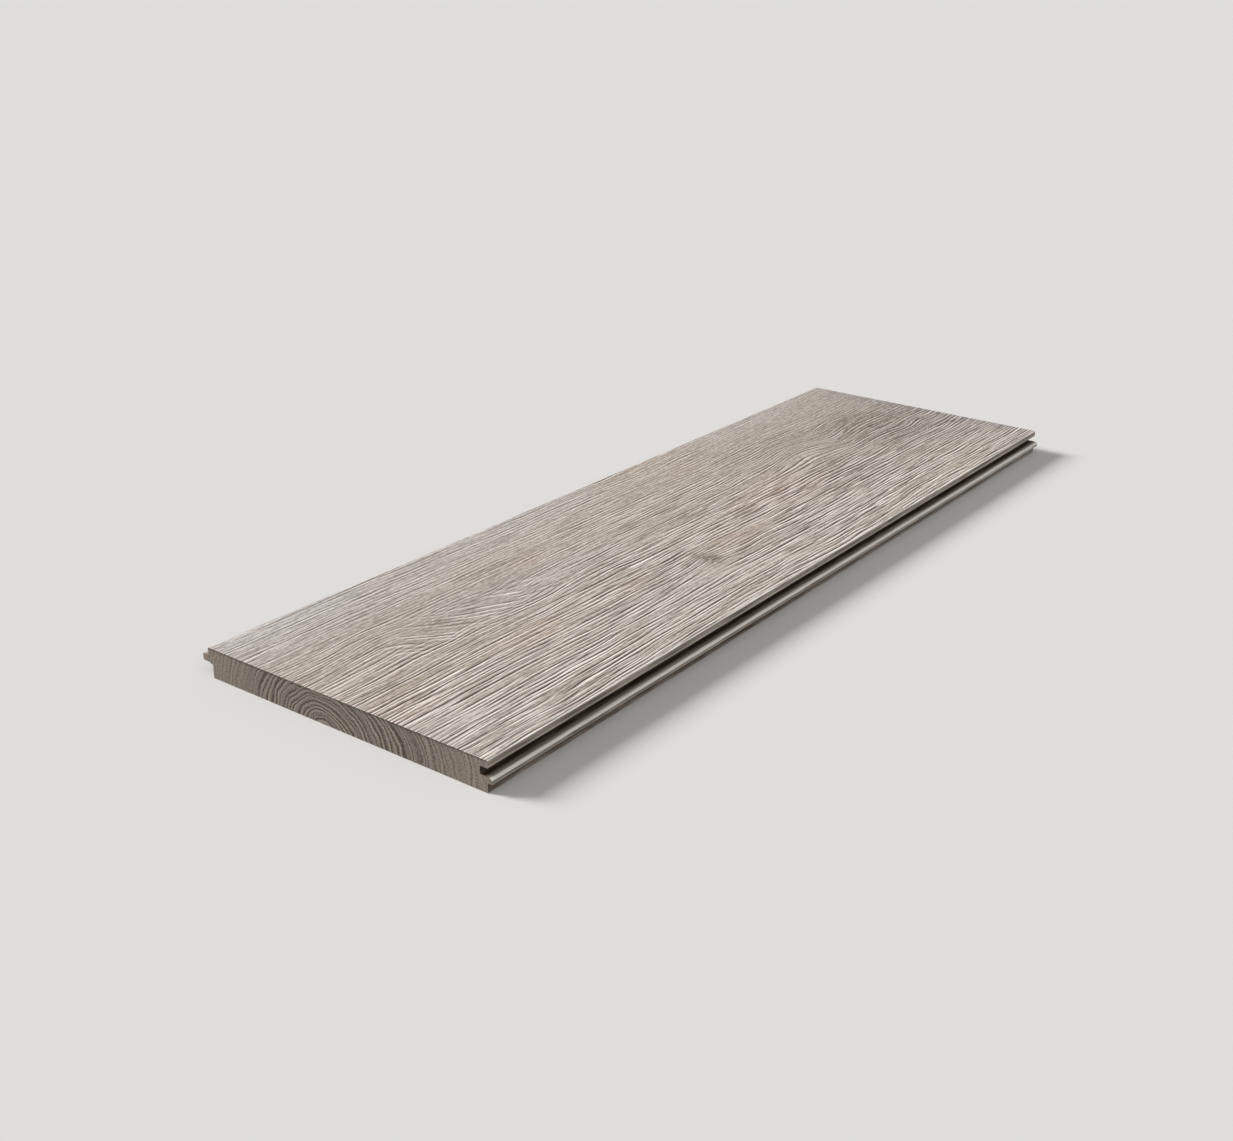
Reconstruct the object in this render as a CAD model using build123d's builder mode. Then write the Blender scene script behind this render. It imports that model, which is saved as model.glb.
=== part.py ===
import os

from build123d import *

# Plank as laid: cover_width is the face that shows once both long edges are joined
length = 800.0
cover_width = 240.0
thickness = 21.0
eased_edge = 0.6

# Groove edge: upper lip, groove, and a lower lip that stands out past the upper one
upper_lip = 5.0
groove_height = 5.4
groove_depth = 5.8
groove_corner = 0.5
lower_lip = 4.2
lower_lip_reach = 3.4
lower_lip_drop = 1.2
lower_lip_corner = 0.4

# Room left inside the joint when the faces of two planks close up
tongue_face_clearance = 0.15
tongue_tip_clearance = 0.5
lower_lip_clearance = 0.3

# Tongue edge
tongue_nose = 1.2

# Groove edge lines, with the groove towards -Y and the underside at Z = 0
groove_edge = -cover_width / 2
groove_back = groove_edge + groove_depth
groove_roof = thickness - upper_lip
groove_floor = groove_roof - groove_height
lower_lip_face = groove_edge - lower_lip_reach
lower_lip_top = groove_floor - lower_lip_drop
lower_lip_underside = groove_floor - lower_lip

# Tongue edge lines, which take the groove and lower lip of the next plank with their clearances
tongue_edge = cover_width / 2
tongue_tip = tongue_edge + groove_depth - tongue_tip_clearance
tongue_top = groove_roof - tongue_face_clearance
tongue_underside = groove_floor + tongue_face_clearance
rebate_depth = lower_lip_reach + lower_lip_clearance
rebate_wall = tongue_edge - rebate_depth
rebate_top = tongue_underside - lower_lip_drop * rebate_depth / lower_lip_reach

with BuildPart() as floor_plank:
    # Moulded section, looking along the length: sketch X is the plank's Y and sketch Y its Z
    with BuildSketch(Plane.YZ) as section:
        with BuildLine():
            Polyline(
                (groove_edge, thickness),
                (groove_edge, groove_roof),
                (groove_back, groove_roof),
                (groove_back, groove_floor),
                (groove_edge, groove_floor),
                (lower_lip_face, lower_lip_top),
                (lower_lip_face, lower_lip_underside),
                (groove_edge, lower_lip_underside),
                (groove_edge, 0),
                (rebate_wall, 0),
                (rebate_wall, rebate_top),
                (tongue_edge, tongue_underside),
                (tongue_tip, tongue_underside),
                (tongue_tip, tongue_top),
                (tongue_edge, tongue_top),
                (tongue_edge, thickness),
                close=True,
            )
        make_face()
        # Eased arrises of the face, the tongue's round nose and the lower lip's outer corners
        fillet(section.vertices().group_by(Axis.Y)[-1], eased_edge)
        fillet(section.vertices().group_by(Axis.X)[-1], tongue_nose)
        fillet(section.vertices().group_by(Axis.X)[0], lower_lip_corner)
        # Inner corners that the groove cutter leaves round
        groove_corners = section.vertices().filter_by(lambda v: abs(v.X - groove_back) < groove_corner)
        fillet(groove_corners, groove_corner)
    # Both ends are sawn square
    extrude(amount=length / 2, both=True)

floor_plank.part.label = "floor_plank"

os.makedirs("parts", exist_ok=True)
export_step(floor_plank.part, "parts/floor_plank.step")
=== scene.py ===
import math

import bmesh
import bpy
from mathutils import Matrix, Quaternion, Vector


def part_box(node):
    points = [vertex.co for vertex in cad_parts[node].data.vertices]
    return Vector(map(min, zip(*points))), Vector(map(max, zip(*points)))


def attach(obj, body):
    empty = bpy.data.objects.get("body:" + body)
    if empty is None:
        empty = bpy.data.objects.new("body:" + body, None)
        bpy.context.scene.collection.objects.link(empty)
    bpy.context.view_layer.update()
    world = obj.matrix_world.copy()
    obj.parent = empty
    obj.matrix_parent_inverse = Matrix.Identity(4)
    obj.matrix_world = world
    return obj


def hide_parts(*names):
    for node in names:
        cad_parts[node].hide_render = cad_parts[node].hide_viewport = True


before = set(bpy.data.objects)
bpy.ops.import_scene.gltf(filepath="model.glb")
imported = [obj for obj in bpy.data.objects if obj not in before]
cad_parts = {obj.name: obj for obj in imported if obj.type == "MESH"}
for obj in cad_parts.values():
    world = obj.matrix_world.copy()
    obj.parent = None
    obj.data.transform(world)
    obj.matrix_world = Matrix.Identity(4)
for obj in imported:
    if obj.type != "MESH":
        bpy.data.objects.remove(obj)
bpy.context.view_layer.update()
low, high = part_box("floor_plank")
mm = 0.001
hair = 0.01 * mm               # points closer than this lie on the same line
halfLength, faceHeight = round(high.x / mm, 2), round(high.z / mm, 2)   # in mm
print("frame loaded, plank box in mm:", [round(v / mm, 1) for v in (*low, *high)])


# helpers for nodes, colours and edit mode

def wire(tree, kind, settings, links):
    node = tree.nodes.new(kind)
    for name, value in settings.items():
        setattr(node, name, value)
    for spot, value in links.items() if isinstance(links, dict) else enumerate(links):
        if isinstance(value, bpy.types.NodeSocket):
            tree.links.new(value, node.inputs[spot])
        else:
            node.inputs[spot].default_value = value
    return node.outputs


def paint(hexColour):
    # sRGB hex to linear
    channels = [int(hexColour[i:i + 2], 16) / 255 for i in (1, 3, 5)]
    linear = [c / 12.92 if c <= 0.04045 else ((c + 0.055) / 1.055) ** 2.4 for c in channels]
    return (*linear, 1.0)


def pickEdges(piece, test):
    bpy.ops.mesh.select_all(action="DESELECT")
    cage = bmesh.from_edit_mesh(piece.data)
    for edge in cage.edges:
        edge.select_set(test(edge))
    bmesh.update_edit_mesh(piece.data, loop_triangles=False, destructive=False)


def runsAlong(edge, y, z):
    return all(abs(v.co.y - y) < hair and abs(v.co.z - z) < hair for v in edge.verts)


# camera where the photograph was taken from

view = {
    "place": (-0.96046, -0.61638, 0.44972),
    "aim": (-0.10955, 0.00337, 0.0105),
    "roll": math.radians(0.914),
    "lens": 44.11,             # mm
    "sensor": 36,              # mm wide
    "farthest": 200,           # m, past the floor's edge
}

bpy.ops.object.select_all(action="DESELECT")
bpy.ops.object.camera_add(location=view["place"])
camera = bpy.context.object
camera.name = "photo_camera"
sight = Vector(view["aim"]) - Vector(view["place"])
camera.rotation_mode = "QUATERNION"
camera.rotation_quaternion = sight.to_track_quat("-Z", "Y") @ Quaternion((0, 0, 1), view["roll"])
camera.data.sensor_width = view["sensor"]
camera.data.lens = view["lens"]
camera.data.clip_end = view["farthest"]
bpy.context.scene.camera = camera
print("camera set")


# grain: the lines that the brushed relief and the timber's streaks follow

grain = {
    "waver": [((260, 70, 70), 6.0), ((70, 18, 18), 1.6)],   # (reach, pull) in mm
    # spots are (from near end, across, reach along, reach across, amount) in mm
    "spotDepth": 12,           # mm that every spot reaches down from the face
    "bends": [                 # slope: lines slant off and come back
        (96, 26, 36, 26, 0.28), (158, 17, 40, 26, 0.28), (628, 26, 44, 24, 0.32), (640, 8, 18, 12, 0.3),
        (772, -16, 20, 12, 0.25),
    ],
    "swirls": [                # pull in mm: lines are drawn aside
        (585, 22, 70, 18, -3.0), (742, -16, 26, 14, 3.0), (372, -62, 15, 9, 1.2), (333, -50, 20, 9, -2.5),
        (276, -8, 20, 7, -2.5),
    ],
    "inward": 0.2,             # how fast streaks change into the wood, as a share of across it
    # sets of brushed lines in mm: spacing, wander's reach and pull, run and breadth of breaks, strength near and far
    "lines": [
        (4.1, (58, 13), 2.3, (46, 2.6), (0.73, 0.8)),
        (3.3, (42, 9), 1.7, (34, 2.1), (0.88, 0.9)),
        (2.7, (36, 8), 1.4, (28, 1.8), (0.55, 0.3)),
    ],
    "nearToFar": (-350, 50),   # mm from the middle, where one strength turns into the other
    "breakSpan": (0.4, 0.62),  # of the noise: a line starts to show, and is whole
    "wanderSeed": (5.3, 7.1),  # the first set's, and the step to the next set's
    "breakSeed": (2.2, 3.3),
    # how deep the brush went: hardest by the groove edge, softer by the tongue edge and the far end
    "brushAcross": (115, -80, 0.58, 1.22),   # from and to in mm, and the depth at each
    "brushAlong": (120, 360, 1, 0.78),
    "brushPatch": (80, 24, 24),              # mm, uneven work of the brush
    "patchDepth": (0.3, 0.7, 0.72, 1.08),    # from and to of the noise, and the depth at each
    "patches": [               # share: spared by the brush, or brushed harder
        (140, 34, 64, 30, -0.4), (108, 24, 40, 16, -0.75), (176, 18, 50, 13, -0.75), (337, 0, 12, 7, -0.7),
        (268, -34, 20, 9, -0.4), (378, -48, 26, 9, -0.4), (235, 50, 30, 12, -0.4), (333, -50, 11, 14, -0.8),
        (300, -16, 55, 18, 0.4), (470, -10, 60, 30, 0.2), (806, 0, 10, 200, -0.5), (620, 84, 120, 40, -0.3),
        (790, 84, 80, 50, -0.4), (600, 8, 90, 30, -0.2), (580, -84, 90, 32, 0.4), (340, -84, 60, 30, -0.15),
    ],
    # short strokes that fan out across the grain by the near end
    "fanned": [(106, 22, 40, 18, 1.2), (178, 18, 54, 15, 1.1)],   # share that shows
    "fanTurns": [(45, 150, 54), (100, 270, 48)],   # (from, to, drift) in mm: how far the strokes turn aside
    "fanStrokes": (6.4, (30, 11), 2.4, (24, 4.2), (1.0, 1.0)),    # as one set of lines
}


def bell(tree, point, station, across, reachAlong, reachAcross):
    # 1 at a spot on the face, fading out around it
    spot = (station - halfLength, across, faceHeight)
    reach = (reachAlong, reachAcross, grain["spotDepth"])
    offset = wire(tree, "ShaderNodeVectorMath", {"operation": "SUBTRACT"}, [point, spot])[0]
    scaled = wire(tree, "ShaderNodeVectorMath", {"operation": "DIVIDE"}, [offset, reach])[0]
    squared = wire(tree, "ShaderNodeVectorMath", {"operation": "DOT_PRODUCT"}, [scaled, scaled])["Value"]
    minus = wire(tree, "ShaderNodeMath", {"operation": "MULTIPLY"}, [squared, -1])[0]
    return wire(tree, "ShaderNodeMath", {"operation": "EXPONENT"}, [minus])[0]


def grainField(tree, point):
    # place in mm, and the grain line that runs through it
    inMm = wire(tree, "ShaderNodeVectorMath", {"operation": "SCALE"}, {0: point, "Scale": 1 / mm})[0]
    x, y, z = wire(tree, "ShaderNodeSeparateXYZ", {}, [inMm])

    line = y
    for reach, pull in grain["waver"]:
        stretched = wire(tree, "ShaderNodeVectorMath", {"operation": "DIVIDE"}, [inMm, reach])[0]
        noise = wire(tree, "ShaderNodeTexNoise", {}, {"Vector": stretched, "Scale": 1, "Detail": 1})[0]
        centred = wire(tree, "ShaderNodeMath", {"operation": "SUBTRACT"}, [noise, 0.5])[0]
        line = wire(tree, "ShaderNodeMath", {"operation": "MULTIPLY_ADD"}, [centred, 2 * pull, line])[0]

    for *spot, pull in grain["swirls"]:
        line = wire(tree, "ShaderNodeMath", {"operation": "MULTIPLY_ADD"}, [bell(tree, inMm, *spot), pull, line])[0]
    for *spot, slope in grain["bends"]:
        start = slope * (halfLength - spot[0])
        aside = wire(tree, "ShaderNodeMath", {"operation": "MULTIPLY_ADD"}, [x, slope, start])[0]
        line = wire(tree, "ShaderNodeMath", {"operation": "MULTIPLY_ADD"}, [bell(tree, inMm, *spot), aside, line])[0]
    return {"point": inMm, "x": x, "y": y, "z": z, "line": line}


def streaks(tree, field, length, width, seed, detail=0.0):
    # noise drawn out along the grain, laid line by line
    lengthwise = wire(tree, "ShaderNodeMath", {"operation": "DIVIDE"}, [field["x"], length])[0]
    crosswise = wire(tree, "ShaderNodeMath", {"operation": "DIVIDE"}, [field["line"], width])[0]
    step = grain["inward"] / width
    inward = wire(tree, "ShaderNodeMath", {"operation": "MULTIPLY_ADD"}, [field["z"], step, seed])[0]
    where = wire(tree, "ShaderNodeCombineXYZ", {}, [lengthwise, crosswise, inward])[0]
    return wire(tree, "ShaderNodeTexNoise", {}, {"Vector": where, "Scale": 1, "Detail": detail, "Roughness": 0.5})[0]


def brushing(tree, field):
    # how deep the brush went
    smooth = {"interpolation_type": "SMOOTHSTEP"}
    across = wire(tree, "ShaderNodeMapRange", smooth, [field["y"], *grain["brushAcross"]])[0]
    along = wire(tree, "ShaderNodeMapRange", smooth, [field["x"], *grain["brushAlong"]])[0]
    where = wire(tree, "ShaderNodeVectorMath", {"operation": "DIVIDE"}, [field["point"], grain["brushPatch"]])[0]
    patch = wire(tree, "ShaderNodeTexNoise", {}, {"Vector": where, "Scale": 1, "Detail": 1})[0]
    uneven = wire(tree, "ShaderNodeMapRange", {}, [patch, *grain["patchDepth"]])[0]
    both = wire(tree, "ShaderNodeMath", {"operation": "MULTIPLY"}, [across, along])[0]
    brush = wire(tree, "ShaderNodeMath", {"operation": "MULTIPLY"}, [both, uneven])[0]
    for *spot, share in grain["patches"]:
        shown = bell(tree, field["point"], *spot)
        change = wire(tree, "ShaderNodeMath", {"operation": "MULTIPLY_ADD"}, [shown, share, 1])[0]
        brush = wire(tree, "ShaderNodeMath", {"operation": "MULTIPLY"}, [brush, change])[0]
    return brush


def fanField(tree, field):
    # the same field with its lines turned aside, and where its strokes show
    turned, shown = field["line"], 0.0
    for start, end, drift in grain["fanTurns"]:
        aside = wire(tree, "ShaderNodeMapRange", {"interpolation_type": "SMOOTHSTEP"},
                     [field["x"], start - halfLength, end - halfLength, 0, drift])[0]
        turned = wire(tree, "ShaderNodeMath", {"operation": "ADD"}, [turned, aside])[0]
    for *spot, share in grain["fanned"]:
        shown = wire(tree, "ShaderNodeMath", {"operation": "MULTIPLY_ADD", "use_clamp": True},
                     [bell(tree, field["point"], *spot), share, shown])[0]
    return {**field, "line": turned}, shown


def brushedLine(tree, field, brush, which, lines):
    # place across one brushed line, 0 to 1 with its bottom at a half, and how strongly it was brushed there
    spacing, wanderReach, pull, breakReach, strengths = lines
    wanderSeed, breakSeed = [first + step * which for first, step in (grain["wanderSeed"], grain["breakSeed"])]
    wander = streaks(tree, field, *wanderReach, wanderSeed)
    turns = wire(tree, "ShaderNodeMath", {"operation": "DIVIDE"}, [field["line"], spacing])[0]
    turns = wire(tree, "ShaderNodeMath", {"operation": "MULTIPLY_ADD"}, [wander, 2 * pull / spacing, turns])[0]
    across = wire(tree, "ShaderNodeMath", {"operation": "FRACT"}, [turns])[0]
    breaks = streaks(tree, field, *breakReach, breakSeed)
    strength = wire(tree, "ShaderNodeMapRange", {}, [field["x"], *grain["nearToFar"], *strengths])[0]
    kept = wire(tree, "ShaderNodeMapRange", {"interpolation_type": "SMOOTHSTEP"},
                [breaks, *grain["breakSpan"], 0, strength])[0]
    return across, wire(tree, "ShaderNodeMath", {"operation": "MULTIPLY"}, [kept, brush])[0]


def pulse(tree, across, centre, reach, strength):
    # full strength at the centre, falling to 0 at its reach on both sides
    away = wire(tree, "ShaderNodeMath", {"operation": "SUBTRACT"}, [across, centre])[0]
    apart = wire(tree, "ShaderNodeMath", {"operation": "ABSOLUTE"}, [away])[0]
    near = wire(tree, "ShaderNodeMapRange", {"interpolation_type": "SMOOTHSTEP"}, [apart, reach, 0])[0]
    return wire(tree, "ShaderNodeMath", {"operation": "MULTIPLY"}, [near, strength])[0]


# plank: the walking face is a fine grid, and its long sides are run down round the moulded edges

plank = {
    "columns": 224,            # faces along the length
    "rows": 380,               # faces across the walking face
    "easedEdge": 0.6 * mm,
    "upperLip": 5.0 * mm,
    "grooveHeight": 5.4 * mm,
    "grooveDepth": 5.8 * mm,
    "grooveCorner": 0.5 * mm,
    "lowerLip": 4.2 * mm,
    "lowerLipReach": 3.4 * mm,
    "lowerLipDrop": 1.2 * mm,
    "lowerLipCorner": 0.4 * mm,
    "tongueFaceRoom": 0.15 * mm,
    "tongueTipRoom": 0.5 * mm,
    "lowerLipRoom": 0.3 * mm,
    "tongueNose": 1.2 * mm,
    "cornerSteps": 3,          # faces round each corner
    "noseSteps": 4,
    "smoothUnder": math.radians(32),
    "reliefDepth": 0.45 * mm,  # at strength 1
    "reliefShape": (0.5, 0.5),  # centre and reach of the cut, as shares of a line's spacing
    "reliefStart": 0.05 * mm,  # from the eased edges inwards
    "reliefWhole": 2.5 * mm,
    "endFade": 9.0 * mm,       # from the sawn ends inwards
    "endShare": 0.3,           # of the relief left at the sawn ends
}

top, bottom = high.z, low.z
grooveEdge = low.y + plank["lowerLipReach"]
grooveBack = grooveEdge + plank["grooveDepth"]
grooveRoof = top - plank["upperLip"]
grooveFloor = grooveRoof - plank["grooveHeight"]
lipTop = grooveFloor - plank["lowerLipDrop"]
lipUnder = grooveFloor - plank["lowerLip"]
tongueTip = high.y
tongueEdge = tongueTip - plank["grooveDepth"] + plank["tongueTipRoom"]
tongueTop = grooveRoof - plank["tongueFaceRoom"]
tongueUnder = grooveFloor + plank["tongueFaceRoom"]
rebateDepth = plank["lowerLipReach"] + plank["lowerLipRoom"]
rebateWall = tongueEdge - rebateDepth
rebateTop = tongueUnder - plank["lowerLipDrop"] * rebateDepth / plank["lowerLipReach"]

# (y, z) from the walking face down to the underside
grooveSide = [
    (grooveEdge, top), (grooveEdge, grooveRoof), (grooveBack, grooveRoof), (grooveBack, grooveFloor),
    (grooveEdge, grooveFloor), (low.y, lipTop), (low.y, lipUnder), (grooveEdge, lipUnder), (grooveEdge, bottom),
]
tongueSide = [
    (tongueEdge, top), (tongueEdge, tongueTop), (tongueTip, tongueTop), (tongueTip, tongueUnder),
    (tongueEdge, tongueUnder), (rebateWall, rebateTop), (rebateWall, bottom),
]

bpy.ops.object.select_all(action="DESELECT")
middle = (0, (grooveEdge + tongueEdge) / 2, top)
bpy.ops.mesh.primitive_grid_add(
    x_subdivisions=plank["columns"], y_subdivisions=plank["rows"], size=1, location=middle)
brushedPlank = bpy.context.object
brushedPlank.name = "brushed_plank"
brushedPlank.scale = (high.x - low.x, tongueEdge - grooveEdge, 1)
bpy.ops.object.transform_apply(location=True, rotation=True, scale=True)
bpy.ops.object.mode_set(mode="EDIT")
bpy.ops.mesh.select_mode(type="EDGE")

for side in (grooveSide, tongueSide):
    pickEdges(brushedPlank, lambda edge: edge.is_boundary and runsAlong(edge, *side[0]))
    for (y0, z0), (y1, z1) in zip(side, side[1:]):
        bpy.ops.mesh.extrude_edges_move(TRANSFORM_OT_translate={"value": (0, y1 - y0, z1 - z0)})

# underside between the two sides
undersideEdges = (grooveSide[-1], tongueSide[-1])
pickEdges(brushedPlank, lambda edge: edge.is_boundary and any(runsAlong(edge, *line) for line in undersideEdges))
bpy.ops.mesh.bridge_edge_loops()

# round corners; the lower lip's upper one isn't square, so its bevel starts nearer to it
lipSlope = math.pi / 2 + math.atan2(plank["lowerLipDrop"], plank["lowerLipReach"])
lipReach = plank["lowerLipCorner"] / math.tan(lipSlope / 2)
roundings = [
    ([grooveSide[0], tongueSide[0]], plank["easedEdge"], plank["cornerSteps"]),
    ([grooveSide[2], grooveSide[3]], plank["grooveCorner"], plank["cornerSteps"]),
    ([grooveSide[5]], lipReach, plank["cornerSteps"]),
    ([grooveSide[6]], plank["lowerLipCorner"], plank["cornerSteps"]),
    ([tongueSide[2], tongueSide[3]], plank["tongueNose"], plank["noseSteps"]),
]
for lines, reach, steps in roundings:
    pickEdges(brushedPlank, lambda edge: any(runsAlong(edge, *line) for line in lines))
    bpy.ops.mesh.bevel(offset=reach, segments=steps, profile=0.5, affect="EDGES", clamp_overlap=False)

# sawn ends
for endX in (low.x, high.x):
    pickEdges(brushedPlank, lambda edge: edge.is_boundary and all(abs(v.co.x - endX) < hair for v in edge.verts))
    bpy.ops.mesh.edge_face_add()
bpy.ops.mesh.select_all(action="SELECT")
bpy.ops.mesh.normals_make_consistent(inside=False)
bpy.ops.object.mode_set(mode="OBJECT")
print("plank shaped:", len(brushedPlank.data.polygons), "faces")


# brushed relief: the widest set of lines, cut down into the walking face only
relief = bpy.data.node_groups.new("brushedRelief", "GeometryNodeTree")
relief.interface.new_socket("Geometry", in_out="INPUT", socket_type="NodeSocketGeometry")
relief.interface.new_socket("Geometry", in_out="OUTPUT", socket_type="NodeSocketGeometry")
shapeIn = wire(relief, "NodeGroupInput", {}, [])[0]
place = wire(relief, "GeometryNodeInputPosition", {}, [])[0]
field = grainField(relief, place)
across, strength = brushedLine(relief, field, brushing(relief, field), 0, grain["lines"][0])
deep = pulse(relief, across, *plank["reliefShape"], strength)
fromMiddle = wire(relief, "ShaderNodeMath", {"operation": "ABSOLUTE"}, [field["y"]])[0]
faceHalf = tongueEdge - plank["easedEdge"]
fade = wire(relief, "ShaderNodeMapRange", {"interpolation_type": "SMOOTHSTEP"},
            [fromMiddle, (faceHalf - plank["reliefStart"]) / mm, (faceHalf - plank["reliefWhole"]) / mm])[0]
fromCentre = wire(relief, "ShaderNodeMath", {"operation": "ABSOLUTE"}, [field["x"]])[0]
endFade = wire(relief, "ShaderNodeMapRange", {"interpolation_type": "SMOOTHSTEP"},
               [fromCentre, halfLength, halfLength - plank["endFade"] / mm, plank["endShare"], 1])[0]
fade = wire(relief, "ShaderNodeMath", {"operation": "MULTIPLY"}, [fade, endFade])[0]
drop = wire(relief, "ShaderNodeMath", {"operation": "MULTIPLY"}, [deep, fade])[0]
sunk = wire(relief, "ShaderNodeMath", {"operation": "MULTIPLY"}, [drop, -plank["reliefDepth"]])[0]
offset = wire(relief, "ShaderNodeCombineXYZ", {}, {"Z": sunk})[0]
onFace = wire(relief, "ShaderNodeMath", {"operation": "GREATER_THAN"}, [field["z"], (top - hair) / mm])[0]
moved = wire(relief, "GeometryNodeSetPosition", {}, {"Geometry": shapeIn, "Selection": onFace, "Offset": offset})[0]
wire(relief, "NodeGroupOutput", {}, [moved])

brushedPlank.modifiers.new("brushedRelief", "NODES").node_group = relief
bpy.ops.object.select_all(action="DESELECT")
brushedPlank.select_set(True)
bpy.context.view_layer.objects.active = brushedPlank
bpy.ops.object.modifier_apply(modifier="brushedRelief")
bpy.ops.object.shade_smooth_by_angle(angle=plank["smoothUnder"])
print("relief brushed")


# timber of the whole plank, and what its three finishes share

timber = {
    "wash": "#BDB0A2",
    # lime: pale wash in the fibres, and the painted highlight on the lit walls of the brushed lines
    "limeAndPaintedHighlight": "#F0E7DF",
    # hollow: brown-grey of pores, fibres and broad streaks, and the painted shade on the dark walls of the brushed
    # lines and towards the far end
    "hollowAndPaintedShade": "#6B6057",
    "rose": "#BE9F90",
    "slate": "#8C8A8D",
    "dusk": "#7F7265",
    "chalk": "#CCCDCF",
    "knot": "#66574B",
    "endPale": "#B3A99B",
    "endDark": "#4E453C",
    "edgePale": "#B8ADA0",
    "edgeDark": "#72675B",
    # near-white painted highlight for the arrises, the lower lip and the tongue's nose
    "arris": "#FDF8F0",
    # painted shade in the groove and under the lower lip
    "paintedShade": "#3A2C1D",
    "ior": 1.5,
    "specular": 0.35,
}
rgba = {"data_type": "RGBA"}   # on a Mix node: 0 is the amount, 6 the colour under, 7 the colour over it


def newTimber(name):
    material = bpy.data.materials.new(name)
    material.use_nodes = True
    tree = material.node_tree
    tree.nodes.clear()
    point = wire(tree, "ShaderNodeTexCoord", {}, [])["Object"]
    return material, tree, grainField(tree, point)


def finishTimber(tree, finish, colour, height):
    strength, distance = finish["bump"]
    bumpy = wire(tree, "ShaderNodeBump", {}, {"Strength": strength, "Distance": distance, "Height": height})[0]
    skin = wire(tree, "ShaderNodeBsdfPrincipled", {}, {
        "Base Color": colour, "Roughness": finish["roughness"], "IOR": timber["ior"],
        "Specular IOR Level": timber["specular"], "Normal": bumpy})[0]
    wire(tree, "ShaderNodeOutputMaterial", {}, [skin])


# grey-washed timber, brushed on its face: dull, with painted highlights on the lit walls of the brushed lines and
# brown-grey painted shade on their dark walls

faceFinish = {
    # streaks: mm long, mm wide, seed, detail
    "broad": (190, 9, 9.1, 1.0),
    "scratch": (34, 1.5, 4.4, 1.0),
    "fibre": (4, 1.2, 3.9, 1.0),         # drawn coarser than real fibre so that it shows
    "pores": (7, 1.1, 8.3, 1.0),         # drawn about three times as coarse as real pores so that they show
    # from and to of the streaks' noise, and the tone's share at each
    "darkPores": (0.5, 0.8, 0, 0.5),
    "darkFibre": (0.5, 0.75, 0, 0.4),
    "paleFibre": (0.5, 0.25, 0, 0.4),
    "broadShare": 0.35,
    "farPaintedShade": (80, 400, 0, 0.06),       # painted shade, darker towards the far end: from and to in mm along from the middle, and the tone's share at each
    # centre and reach across a brushed line, as shares of its spacing: the lit wall takes a painted highlight, the
    # dark wall painted shade
    "litWall": (0.31, 0.28),
    "darkWall": (0.65, 0.28),
    "valley": (0.5, 0.34),
    "litShare": 0.9,
    "darkShare": 0.85,
    "scratchHeight": 0.35,               # in the bump, beside 1 for a brushed line
    "arrises": [(-119.8, 1.3, 1.1), (120, 1.2, 0.5)],   # painted highlights along the long top arrises: (across, reach, strength) in mm
    "bump": (1, 0.55 * mm),
    "roughness": 0.65,
    "spots": {                           # as the grain's spots, with the tone's strength
        "rose": [
            (510, -18, 65, 22, 0.45), (144, -32, 28, 10, 0.45), (240, 52, 16, 7, 0.35), (380, -46, 28, 9, 0.4),
            (322, -76, 20, 5, 0.35), (256, -36, 20, 8, 0.3), (496, 80, 16, 6, 0.4), (20, -60, 50, 40, 0.25),
        ],
        "slate": [(166, 30, 44, 24, 0.3), (750, -40, 40, 30, 0.25), (805, -10, 30, 110, 0.95)],
        "dusk": [
            (722, 2, 78, 50, 1.05), (120, 44, 60, 26, 0.25), (585, -32, 42, 30, 0.7), (308, -26, 44, 20, 0.35),
            (600, 50, 80, 22, 0.35),
        ],
        "chalk": [
            (40, 122, 190, 44, 0.5), (310, 122, 90, 24, 0.4), (660, 122, 120, 24, 0.3), (20, -80, 60, 30, 0.2),
            (262, -74, 60, 20, 0.25), (480, -76, 50, 16, 0.25), (250, 22, 70, 16, 0.2),
        ],
        "knot": [
            (334, -53, 9, 9, 1.0), (331, -38, 7, 7, 0.55), (312, -44, 12, 4, 0.35), (276, -14, 5, 4, 0.7),
            (560, -12, 9, 4, 0.5), (706, -12, 16, 12, 0.35),
        ],
    },
}

faceWood, tree, field = newTimber("greyWashedBrushedTimber")
wash, limeAndPaintedHighlight, hollowAndPaintedShade, arris = [paint(timber[tone]) for tone in ("wash", "limeAndPaintedHighlight", "hollowAndPaintedShade", "arris")]
broad = streaks(tree, field, *faceFinish["broad"])
pores = streaks(tree, field, *faceFinish["pores"])
scratch = streaks(tree, field, *faceFinish["scratch"])
fibre = streaks(tree, field, *faceFinish["fibre"])
amount = wire(tree, "ShaderNodeMath", {"operation": "MULTIPLY"}, [broad, faceFinish["broadShare"]])[0]
colour = wire(tree, "ShaderNodeMix", rgba, {0: amount, 6: wash, 7: hollowAndPaintedShade})[2]
for tone, spots in faceFinish["spots"].items():
    for *spot, strength in spots:
        uneven = wire(tree, "ShaderNodeMath", {"operation": "MULTIPLY"}, [scratch, 2 * strength])[0]
        amount = wire(tree, "ShaderNodeMath", {"operation": "MULTIPLY", "use_clamp": True},
                      [bell(tree, field["point"], *spot), uneven])[0]
        colour = wire(tree, "ShaderNodeMix", rgba, {0: amount, 6: colour, 7: paint(timber[tone])})[2]

# pores, fibres and the painted shade towards the far end, laid over one another in this order
overlays = [
    (pores, "darkPores", hollowAndPaintedShade), (fibre, "darkFibre", hollowAndPaintedShade), (fibre, "paleFibre", limeAndPaintedHighlight),
    (field["x"], "farPaintedShade", hollowAndPaintedShade),
]
for source, span, over in overlays:
    amount = wire(tree, "ShaderNodeMapRange", {}, [source, *faceFinish[span]])[0]
    colour = wire(tree, "ShaderNodeMix", rgba, {0: amount, 6: colour, 7: over})[2]
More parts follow.
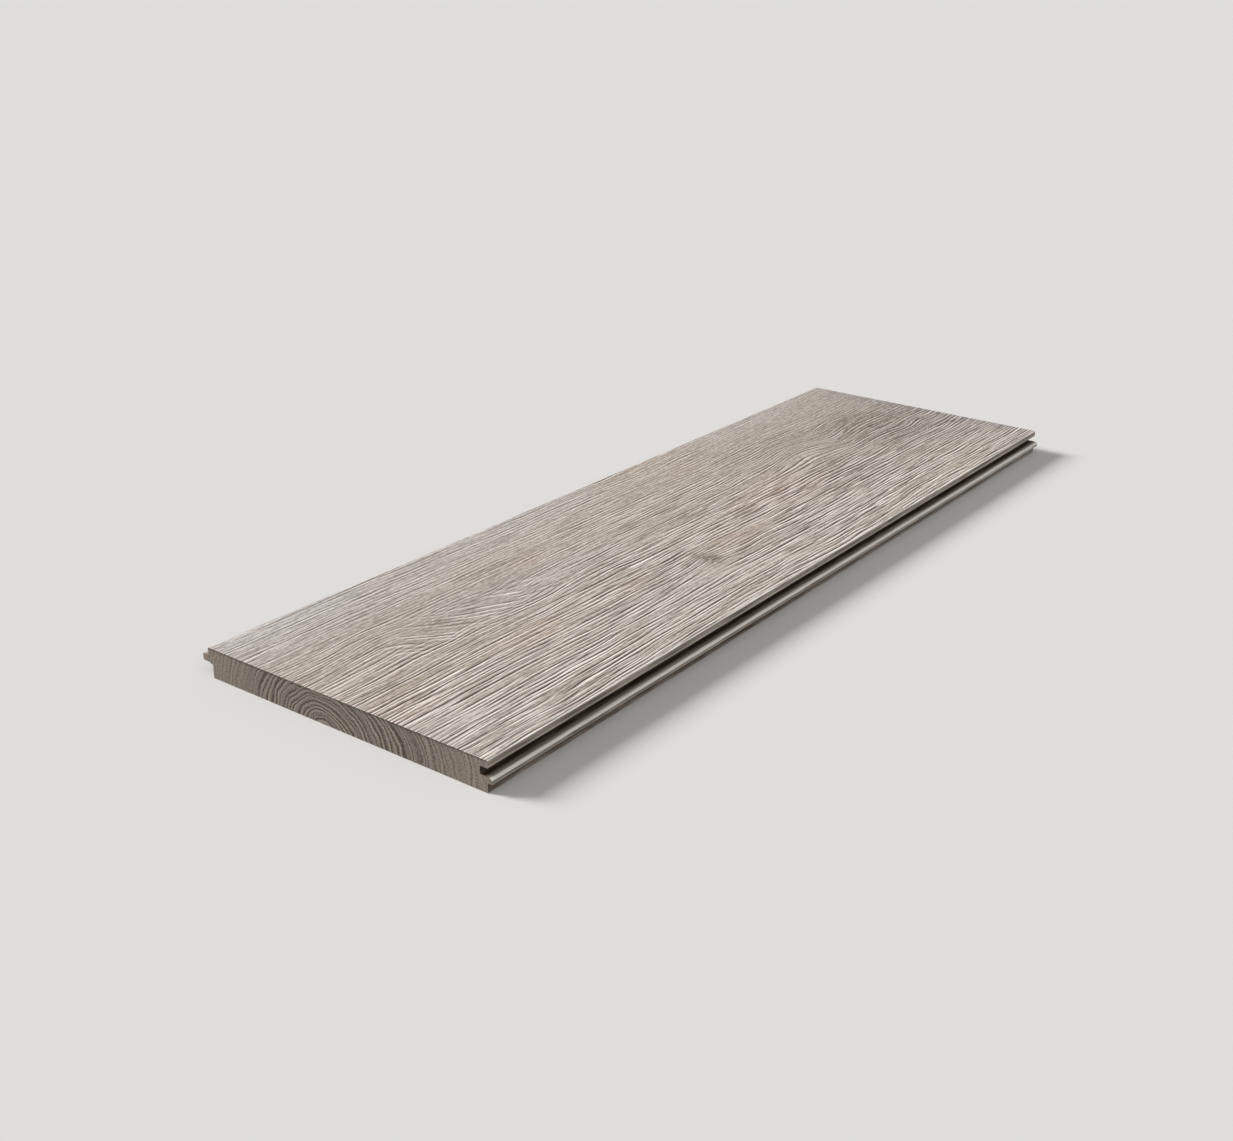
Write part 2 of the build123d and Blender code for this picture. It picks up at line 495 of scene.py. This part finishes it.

# every set of brushed lines, then the fanned strokes: a painted highlight on the lit wall, painted shade on the dark
# wall, and a valley in the bump
sunk = wire(tree, "ShaderNodeMath", {"operation": "MULTIPLY"}, [scratch, faceFinish["scratchHeight"]])[0]
brush = brushing(tree, field)
sets = [(field, brush, lines) for lines in grain["lines"]]
sets.append((*fanField(tree, field), grain["fanStrokes"]))
for which, (lineField, lineBrush, lines) in enumerate(sets):
    across, strength = brushedLine(tree, lineField, lineBrush, which, lines)
    for wall, share, over in (("litWall", "litShare", limeAndPaintedHighlight), ("darkWall", "darkShare", hollowAndPaintedShade)):
        shown = pulse(tree, across, *faceFinish[wall], strength)
        amount = wire(tree, "ShaderNodeMath", {"operation": "MULTIPLY"}, [shown, faceFinish[share]])[0]
        colour = wire(tree, "ShaderNodeMix", rgba, {0: amount, 6: colour, 7: over})[2]
    valley = pulse(tree, across, *faceFinish["valley"], strength)
    sunk = wire(tree, "ShaderNodeMath", {"operation": "SUBTRACT"}, [sunk, valley])[0]
# painted highlight along both long top arrises
for place in faceFinish["arrises"]:
    colour = wire(tree, "ShaderNodeMix", rgba, {0: pulse(tree, field["y"], *place), 6: colour, 7: arris})[2]
finishTimber(tree, faceFinish, colour, sunk)


# planed edges of the same timber: fine straight streaks, painted highlights on the arrises, the lower lip and the
# tongue's nose, painted shade in the groove and under the lower lip

edgeFinish = {
    "fine": (55, 0.7, 1.7, 2.0),         # streaks: mm long, mm wide, seed, detail
    "coarse": (30, 1.6, 6.1, 1.0),
    "paleFine": (0.3, 0.7, 0, 1),        # from and to of the noise, and the share at each
    "uneven": (0.3, 0.7, 0.8, 1.3),
    "farPaintedHighlight": (-100, 400, 0, 0.35),     # painted highlight, growing towards the far end: from and to in mm along from the middle, and the share at each
    "lipHeight": (10.6, 9.2),            # mm, where that painted highlight starts and where it is whole
    "bump": (0.5, 0.1 * mm),
    "roughness": 0.68,
    "paintedLightAndShade": [                            # painted shade and painted highlights: (across, reach, height, reach, strength, tone) in mm
        (-116.4, 6.4, 12.6, 5.6, 1.4, "paintedShade"), (-120, 6, 3.2, 4.2, 0.55, "paintedShade"),
        (-123.4, 3.0, 9.7, 1.5, 1.3, "arris"), (-120, 1.5, 21, 1.0, 0.8, "arris"),
        (-120, 1, 16.9, 0.9, 0.35, "arris"), (125.3, 4, 15.8, 2.5, 0.3, "arris"),
        (-123.4, 1.2, 6.6, 0.8, 0.5, "arris"), (-120, 1.5, 4.6, 0.9, 0.6, "paintedShade"),
    ],
}

edgeWood, tree, field = newTimber("milledTimberEdge")
fine = streaks(tree, field, *edgeFinish["fine"])
coarse = streaks(tree, field, *edgeFinish["coarse"])
streaked = wire(tree, "ShaderNodeMapRange", {}, [fine, *edgeFinish["paleFine"]])[0]
patchy = wire(tree, "ShaderNodeMapRange", {}, [coarse, *edgeFinish["uneven"]])[0]
edgeDark, edgePale = paint(timber["edgeDark"]), paint(timber["edgePale"])
colour = wire(tree, "ShaderNodeMix", rgba, {0: streaked, 6: edgeDark, 7: edgePale})[2]
# painted highlight: the lower lip's top and the faces below it lighten towards the far end
farHighlightShare = wire(tree, "ShaderNodeMapRange", {}, [field["x"], *edgeFinish["farPaintedHighlight"]])[0]
lowPaintedHighlight = wire(tree, "ShaderNodeMapRange", {}, [field["z"], *edgeFinish["lipHeight"], 0, farHighlightShare])[0]
colour = wire(tree, "ShaderNodeMix", rgba, {0: lowPaintedHighlight, 6: colour, 7: arris})[2]
# painted shade in the groove and under the lip, painted highlights on the arrises, the lip and the tongue's nose
for across, reachAcross, height, reachUp, strength, tone in edgeFinish["paintedLightAndShade"]:
    band = pulse(tree, field["z"], height, reachUp, strength)
    uneven = wire(tree, "ShaderNodeMath", {"operation": "MULTIPLY"}, [band, patchy])[0]
    paintedAmount = wire(tree, "ShaderNodeMath", {"operation": "MULTIPLY", "use_clamp": True},
                [pulse(tree, field["y"], across, reachAcross, 1.0), uneven])[0]
    colour = wire(tree, "ShaderNodeMix", rgba, {0: paintedAmount, 6: colour, 7: paint(timber[tone])})[2]
finishTimber(tree, edgeFinish, colour, fine)


# sawn end: growth rings about a pith just under the board, dark late wood, fading to plain speckled wood by the edges

endFinish = {
    "pith": (0, 14, -3),                 # mm
    "ringWidth": 2.7,                    # mm
    "towardsTongue": 0.75,               # rings are drawn out sideways: share of the distance that counts
    "towardsGroove": 0.64,
    "warpReach": (40, 16, 16),           # mm
    "warpPull": 5.0,                     # mm
    "unevenRate": 0.7,                   # changes in the rings' width for each ring
    "unevenPull": 1.0,                   # rings
    "boldness": (0.4, 1.4),              # of the faintest and the boldest year
    "fineRing": 0.9091,                  # mm
    "speckle": 1.1111,                   # mm, drawn coarser than real end pores so that it shows
    "patch": 7.1429,                     # mm
    # from and to in mm or of the noise, and the amount at each
    "byGroove": (-86, -70, 0.35, 1),
    "byTongue": (84, 62, 0.35, 1),
    "broken": (0.35, 0.65, 0.4, 1.5),
    "outerPale": (60, 110, 0, -0.12),
    "underFace": (18.5, 21, 0, 0.3),
    # centre and reach through one year
    "lateWood": (0.62, 0.3),
    "earlyWood": (0.2, 0.3),
    "darkBase": 0.07,
    "lateDark": 0.85,
    "earlyDark": -0.45,
    "fineDark": 0.3,
    "speckleDark": 0.9,
    "bump": (0.4, 0.1 * mm),
    "roughness": 0.8,
}

endWood, tree, field = newTimber("sawnEndGrain")
warpSpot = wire(tree, "ShaderNodeVectorMath", {"operation": "DIVIDE"}, [field["point"], endFinish["warpReach"]])[0]
warp = wire(tree, "ShaderNodeTexNoise", {}, {"Vector": warpSpot, "Scale": 1, "Detail": 1})[0]
fromPith = wire(tree, "ShaderNodeVectorMath", {"operation": "SUBTRACT"}, [field["point"], endFinish["pith"]])[0]
_, aside, above = wire(tree, "ShaderNodeSeparateXYZ", {}, [fromPith])
tongueWay = wire(tree, "ShaderNodeMath", {"operation": "MAXIMUM"}, [aside, 0])[0]
grooveWay = wire(tree, "ShaderNodeMath", {"operation": "MINIMUM"}, [aside, 0])[0]
drawnOut = wire(tree, "ShaderNodeMath", {"operation": "MULTIPLY"}, [tongueWay, endFinish["towardsTongue"]])[0]
drawnOut = wire(tree, "ShaderNodeMath", {"operation": "MULTIPLY_ADD"},
                [grooveWay, endFinish["towardsGroove"], drawnOut])[0]
spoke = wire(tree, "ShaderNodeCombineXYZ", {}, {"Y": drawnOut, "Z": above})[0]
radius = wire(tree, "ShaderNodeVectorMath", {"operation": "LENGTH"}, [spoke])["Value"]
radius = wire(tree, "ShaderNodeMath", {"operation": "MULTIPLY_ADD"}, [warp, endFinish["warpPull"], radius])[0]

# rings of uneven width, each year with a boldness of its own
rings = wire(tree, "ShaderNodeMath", {"operation": "DIVIDE"}, [radius, endFinish["ringWidth"]])[0]
uneven = wire(tree, "ShaderNodeTexNoise", {"noise_dimensions": "1D"},
              {"W": rings, "Scale": endFinish["unevenRate"], "Detail": 0})[0]
rings = wire(tree, "ShaderNodeMath", {"operation": "MULTIPLY_ADD"}, [uneven, endFinish["unevenPull"], rings])[0]
saw = wire(tree, "ShaderNodeMath", {"operation": "FRACT"}, [rings])[0]
year = wire(tree, "ShaderNodeMath", {"operation": "FLOOR"}, [rings])[0]
growth = wire(tree, "ShaderNodeTexWhiteNoise", {"noise_dimensions": "1D"}, {"W": year})["Value"]
boldness = wire(tree, "ShaderNodeMapRange", {}, [growth, 0, 1, *endFinish["boldness"]])[0]
fineRing = wire(tree, "ShaderNodeTexNoise", {"noise_dimensions": "1D"},
                {"W": radius, "Scale": 1 / endFinish["fineRing"], "Detail": 1})[0]
speckle = wire(tree, "ShaderNodeTexNoise", {},
               {"Vector": field["point"], "Scale": 1 / endFinish["speckle"], "Detail": 2})[0]
patchy = wire(tree, "ShaderNodeTexNoise", {},
              {"Vector": field["point"], "Scale": 1 / endFinish["patch"], "Detail": 1})[0]
byGroove = wire(tree, "ShaderNodeMapRange", {"interpolation_type": "SMOOTHSTEP"},
                [field["y"], *endFinish["byGroove"]])[0]
byTongue = wire(tree, "ShaderNodeMapRange", {"interpolation_type": "SMOOTHSTEP"},
                [field["y"], *endFinish["byTongue"]])[0]
strong = wire(tree, "ShaderNodeMath", {"operation": "MULTIPLY"}, [byGroove, byTongue])[0]
for share in (patchy, boldness):
    strong = wire(tree, "ShaderNodeMath", {"operation": "MULTIPLY"}, [strong, share])[0]
broken = wire(tree, "ShaderNodeMapRange", {}, [speckle, *endFinish["broken"]])[0]
broken = wire(tree, "ShaderNodeMath", {"operation": "MULTIPLY"}, [strong, broken])[0]

# how dark the wood is: late and early wood, fine rings and speckle, paler outwards and darker just under the face
dark = endFinish["darkBase"]
layers = [
    (pulse(tree, saw, *endFinish["lateWood"], broken), "lateDark"),
    (pulse(tree, saw, *endFinish["earlyWood"], strong), "earlyDark"),
    (fineRing, "fineDark"), (speckle, "speckleDark"),
]
for layer, share in layers:
    dark = wire(tree, "ShaderNodeMath", {"operation": "MULTIPLY_ADD"}, [layer, endFinish[share], dark])[0]
outwards = wire(tree, "ShaderNodeMath", {"operation": "ABSOLUTE"}, [field["y"]])[0]
paler = wire(tree, "ShaderNodeMapRange", {}, [outwards, *endFinish["outerPale"]])[0]
dark = wire(tree, "ShaderNodeMath", {"operation": "ADD"}, [dark, paler])[0]
underFace = wire(tree, "ShaderNodeMapRange", {"interpolation_type": "SMOOTHSTEP"},
                 [field["z"], *endFinish["underFace"]])[0]
dark = wire(tree, "ShaderNodeMath", {"operation": "ADD", "use_clamp": True}, [dark, underFace])[0]
endPale, endDark = paint(timber["endPale"]), paint(timber["endDark"])
colour = wire(tree, "ShaderNodeMix", rgba, {0: dark, 6: endPale, 7: endDark})[2]
finishTimber(tree, endFinish, colour, dark)

# each face of the mesh takes its finish by the way it looks
squarely, upwards = 0.9, 0.3
faceSlot, edgeSlot, endSlot = range(3)
for material in (faceWood, edgeWood, endWood):
    brushedPlank.data.materials.append(material)
for polygon in brushedPlank.data.polygons:
    if abs(polygon.normal.x) > squarely:
        polygon.material_index = endSlot
    elif polygon.normal.z > upwards and polygon.center.z > top - plank["easedEdge"]:
        polygon.material_index = faceSlot
    else:
        polygon.material_index = edgeSlot


# flat layout for baking, in strips: walking face, underside, the two moulded edges unrolled, the two ends
strips = {
    "face": (0, 0.655),
    "underside": (0.665, 0.83),
    "groove": (0.84, 0.9),
    "tongue": (0.91, 0.965),
    "ends": (0.972, 1),
}
endRun, farEndStart = 0.49, 0.51   # shares of the strip that holds both ends


def unrolled(side, y, z):
    # share of the way down a moulded edge, at its point nearest to (y, z)
    gone, found = 0.0, []
    for (y0, z0), (y1, z1) in zip(side, side[1:]):
        run = math.hypot(y1 - y0, z1 - z0)
        share = min(max(((y - y0) * (y1 - y0) + (z - z0) * (z1 - z0)) / run ** 2, 0), 1)
        found.append((math.hypot(y0 + share * (y1 - y0) - y, z0 + share * (z1 - z0) - z), gone + share * run))
        gone += run
    return min(found)[1] / gone


layout = brushedPlank.data.uv_layers.new(name="OFBake")
for polygon in brushedPlank.data.polygons:
    for corner, point in zip(polygon.loop_indices, polygon.vertices):
        x, y, z = brushedPlank.data.vertices[point].co
        along, across = (x - low.x) / (high.x - low.x), (y - low.y) / (high.y - low.y)
        if polygon.material_index == endSlot:
            strip, along, across = "ends", endRun * across + (farEndStart if polygon.center.x > 0 else 0), z / top
        elif polygon.material_index == faceSlot:
            strip = "face"
        elif polygon.normal.z < -squarely and polygon.center.z < bottom + hair:
            strip = "underside"
        elif polygon.center.y < 0:
            strip, across = "groove", unrolled(grooveSide, y, z)
        else:
            strip, across = "tongue", unrolled(tongueSide, y, z)
        start, end = strips[strip]
        layout.data[corner].uv = (along, start + (end - start) * across)

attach(brushedPlank, "root")
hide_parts("floor_plank")
print("timber laid on")


# pale floor, one soft key light over the tongue side, a softer fill over the groove side and an even surround

studio = {
    "floorSize": 120,          # m
    "floorGap": 0.2 * mm,      # under the plank
    "floorSeen": "#DCDBD8",
    "floorBounce": "#B9B7B3",
    "backdropSeen": "#DEDEDA",
    "surround": 0.26,
    "keyFrom": (-0.30, 0.80, 0.50),
    "keyStrength": 3.72,
    "keySpread": math.radians(20),
    "fillFrom": (-0.35, -0.62, 0.70),
    "fillStrength": 0.75,
    "fillSpread": math.radians(60),
    "lampDistance": 3,
}

# matte floor paint: no gloss, so it only takes the plank's shadow
bpy.ops.object.select_all(action="DESELECT")
bpy.ops.mesh.primitive_plane_add(size=studio["floorSize"], location=(0, 0, bottom - studio["floorGap"]))
floor = bpy.context.object
floor.name = "studio_floor"
floorPaint = bpy.data.materials.new("matteFloorPaint")
floorPaint.use_nodes = True
tree = floorPaint.node_tree
tree.nodes.clear()
seen = wire(tree, "ShaderNodeLightPath", {}, [])["Is Camera Ray"]
floorTones = {0: seen, 6: paint(studio["floorBounce"]), 7: paint(studio["floorSeen"])}
colour = wire(tree, "ShaderNodeMix", rgba, floorTones)[2]
skin = wire(tree, "ShaderNodeBsdfDiffuse", {}, {"Color": colour})[0]
wire(tree, "ShaderNodeOutputMaterial", {}, [skin])
floor.data.materials.append(floorPaint)

surround = bpy.data.worlds.new("studioSurround")
surround.use_nodes = True
tree = surround.node_tree
tree.nodes.clear()
seen = wire(tree, "ShaderNodeLightPath", {}, [])["Is Camera Ray"]
lit = wire(tree, "ShaderNodeBackground", {}, {"Color": paint("#FFFFFF"), "Strength": studio["surround"]})[0]
shown = wire(tree, "ShaderNodeBackground", {}, {"Color": paint(studio["backdropSeen"]), "Strength": 1})[0]
sky = wire(tree, "ShaderNodeMixShader", {}, [seen, lit, shown])[0]
wire(tree, "ShaderNodeOutputWorld", {}, [sky])
bpy.context.scene.world = surround

for lamp in ("key", "fill"):
    bpy.ops.object.light_add(type="SUN", location=Vector(studio[lamp + "From"]) * studio["lampDistance"])
    light = bpy.context.object
    light.name = "soft_" + lamp
    light.data.energy = studio[lamp + "Strength"]
    light.data.angle = studio[lamp + "Spread"]
    light.rotation_mode = "QUATERNION"
    light.rotation_quaternion = Vector(studio[lamp + "From"]).to_track_quat("Z", "Y")
bpy.context.scene.view_settings.view_transform = "Standard"
print("studio lit")
